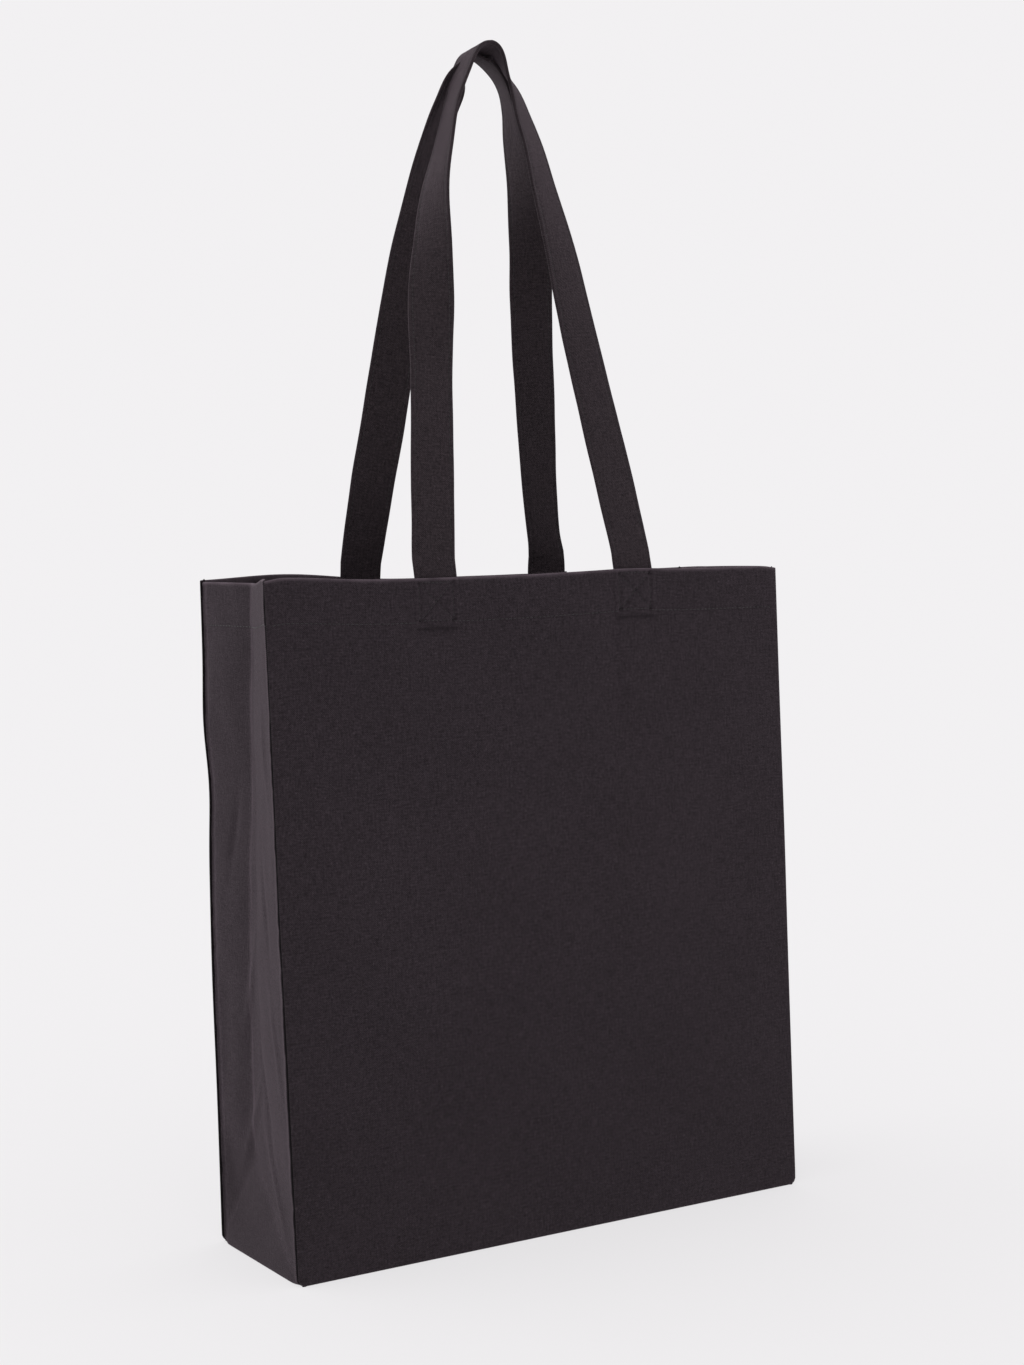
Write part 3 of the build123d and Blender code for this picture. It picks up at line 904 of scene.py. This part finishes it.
MATERIALS = {
    "canvas": cloth_material(
        "canvas_cloth", dark=(0.0115, 0.0086, 0.0104, 1), pale=(0.044, 0.034, 0.0405, 1),
        pitch=0.62 * MM, depth=0.35 * MM, slub=0.8, fleck=0.9, sheen=0.12,
    ),
    "strap": cloth_material(
        "strap_cloth", dark=(0.0115, 0.0086, 0.0100, 1), pale=(0.046, 0.0355, 0.040, 1),
        pitch=0.66 * MM, depth=0.4 * MM, slub=0.9, fleck=0.7, sheen=0.14,
    ),
    "thread": thread_material(
        "sewing_thread", dark=(0.009, 0.007, 0.0082, 1), pale=(0.019, 0.015, 0.0178, 1), twist=900
    ),
    "overlock": thread_material(
        "overlock_thread", dark=(0.02, 0.016, 0.019, 1), pale=(0.05, 0.041, 0.047, 1), twist=700
    ),
}


# ---- putting the bag together ----
def place(piece, body, nodes, folds=False):
    """Attach a piece to its body for the CAD nodes that it replaces; a folding one gets its own copy of its
    mesh too.
    """
    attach(piece, body)
    if folds:
        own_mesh(piece)
    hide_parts(*nodes)
    return piece


def place_bent(piece, nodes):
    """Bake a handle piece, which bends between the roots and the loop, into its mesh and hide the CAD nodes
    it replaces.
    """
    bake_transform(piece)
    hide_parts(*nodes)


cloth, strap, thread, overlock = (MATERIALS[slot] for slot in ("canvas", "strap", "thread", "overlock"))

for face, body in BODY.items():
    panel = place(panel_object(face, cloth), body, [f"{face}_panel", f"{face}_hem"])
    place(hem_stitch_object(face, thread), body, [f"{face}_hem_stitches"])
    for end in SIDES:
        place(strap_end_object(face, end, strap), body, [f"{face}_{end}_strap_end"])
        place(box_stitch_object(face, end, thread), body, [f"{face}_{end}_box_stitches"])
    handle, sewing = handle_objects(face, strap, thread)
    place_bent(handle, [f"{face}_handle", f"{face}_handle_roots"])
    place_bent(sewing, [f"{face}_handle_stitches"])

for side in SIDES:
    nodes = [f"{side}_gusset", f"{side}_hem"]
    gusset = place(gusset_object(side, cloth), "bag", nodes, folds=True)
    place(side_stitch_object(side, thread), "bag", [f"{side}_hem_stitches"], folds=True)

base = place(base_object(cloth), "bag", ["base_panel"], folds=True)

for face, sign in FACES.items():
    low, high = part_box(f"{face}_base_seam_binding")
    y, z = (low.y if face == "front" else high.y) + sign * -0.6 * MM, low.z + MM
    binding = binding_object(
        f"{face}_base_overlock", (low.x, y, z), (high.x, y, z),
        wide=(0, -sign * (high.y - low.y), 0), out=(0, 0, 1), material=overlock,
    )
    place(binding, "bag", [f"{face}_base_seam_binding"], folds=True)
    for side, side_sign in SIDES.items():
        low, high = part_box(f"{face}_{side}_seam_binding")
        outer, inner = (high.x, low.x) if side == "right" else (low.x, high.x)
        if face == "back":      # lies on the back panel, clear of the gusset
            x = outer - side_sign * 2.6 * MM
            wide, out = (-side_sign * (high.x - low.x), 0, 0), (0, -sign, 0)
        else:                   # lies on the gusset
            x = inner
            wide, out = (0, high.y - low.y, 0), (-side_sign, 0, 0)
        binding = binding_object(
            f"{face}_{side}_overlock", (x, low.y, low.z), (x, low.y, high.z), wide, out, overlock
        )
        place(binding, BODY[face], [f"{face}_{side}_seam_binding"], folds=face == "front")


# ---- floor, light and camera ----
FLOOR_TONE = 0.25           # share of the light that the floor reflects
FLOOR_GLOW = 0.655          # its own even glow, which keeps its shadows faint
FLOOR_HALF = 60             # metres
LIGHT_LEVEL = 0.86          # even light from all around
SUN_LEVEL, SUN_HEIGHT = 0.4, 35
ROOM_TINT = (1, 0.985, 1, 1)


def floor_object():
    """A wide pale floor."""
    n = Nodes("pale_floor")
    n.set(n.shader.inputs["Base Color"], (FLOOR_TONE, FLOOR_TONE, FLOOR_TONE, 1))
    n.set(n.shader.inputs["Roughness"], 1.0)
    n.set(n.shader.inputs["Specular IOR Level"], 0.0)
    n.set(n.shader.inputs["Emission Color"], ROOM_TINT)
    n.set(n.shader.inputs["Emission Strength"], FLOOR_GLOW)
    corners = ((-1, -1), (1, -1), (1, 1), (-1, 1))
    verts = [(x * FLOOR_HALF, y * FLOOR_HALF, -0.2 * MM) for x, y in corners]
    return make_object("floor", verts, [(0, 1, 2, 3)], n.material)


floor_object()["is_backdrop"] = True

world = bpy.data.worlds.new("pale_room")
bpy.context.scene.world = world
world.use_nodes = True
tree = world.node_tree
soft_fill = tree.nodes["Background"]
soft_fill.inputs["Color"].default_value = ROOM_TINT
soft_fill.inputs["Strength"].default_value = LIGHT_LEVEL
# the camera sees a plain background of the far floor's own colour
seen = tree.nodes.new("ShaderNodeBackground")
sun_on_floor = SUN_LEVEL * math.sin(math.radians(SUN_HEIGHT)) / math.pi
seen.inputs["Color"].default_value = tuple(
    FLOOR_TONE * (LIGHT_LEVEL * tint + sun_on_floor) + FLOOR_GLOW * tint for tint in ROOM_TINT[:3]
) + (1,)
seen.inputs["Strength"].default_value = 1.0
rays = tree.nodes.new("ShaderNodeLightPath")
chooser = tree.nodes.new("ShaderNodeMixShader")
tree.links.new(rays.outputs["Is Camera Ray"], chooser.inputs[0])
tree.links.new(soft_fill.outputs[0], chooser.inputs[1])
tree.links.new(seen.outputs[0], chooser.inputs[2])
tree.links.new(chooser.outputs[0], tree.nodes["World Output"].inputs["Surface"])


def soft_sun(name, strength, spread, azimuth, height):
    """A very wide sun; azimuth is the direction it shines from, in degrees clockwise from behind the bag."""
    lamp = bpy.data.lights.new(name, "SUN")
    lamp.energy = strength
    lamp.angle = math.radians(spread)
    made = bpy.data.objects.new(name, lamp)
    a, h = math.radians(azimuth), math.radians(height)
    toward = Vector((math.sin(a) * math.cos(h), math.cos(a) * math.cos(h), math.sin(h)))
    made.rotation_euler = toward.to_track_quat("Z", "Y").to_euler()
    bpy.context.scene.collection.objects.link(made)
    return made


soft_sun("window_light", SUN_LEVEL, 60, 300, SUN_HEIGHT)
side_light = soft_sun("side_light", 0.75, 30, 336, 14)
bag_pieces = bpy.data.collections.new("lit_by_side_light")
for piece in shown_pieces():
    bag_pieces.objects.link(piece)
side_light.light_linking.receiver_collection = bag_pieces

CAMERA_AZIMUTH, CAMERA_PITCH, CAMERA_ROLL = 28.93, 3.09, -2.21
CAMERA_TARGET = Vector((0.010, 0, 0.3626))
CAMERA_DISTANCE = 1.4797
CAMERA_LENS = 57.44
a, p, r = (math.radians(v) for v in (CAMERA_AZIMUTH, CAMERA_PITCH, CAMERA_ROLL))
ahead = Vector((math.sin(a) * math.cos(p), math.cos(a) * math.cos(p), -math.sin(p)))
right = Vector((math.cos(a), -math.sin(a), 0))
above = right.cross(ahead)
rolled_right = math.cos(r) * right + math.sin(r) * above
rolled_up = -math.sin(r) * right + math.cos(r) * above
camera = bpy.data.cameras.new("camera")
camera.sensor_fit = "VERTICAL"
camera.sensor_height = 36
camera.lens = CAMERA_LENS
viewer = bpy.data.objects.new("camera", camera)
bpy.context.scene.collection.objects.link(viewer)
turn = Matrix((rolled_right, rolled_up, -ahead)).transposed()
viewer.matrix_world = Matrix.Translation(CAMERA_TARGET - ahead * CAMERA_DISTANCE) @ turn.to_4x4()
bpy.context.scene.camera = viewer
bpy.context.scene.view_settings.view_transform = "Standard"
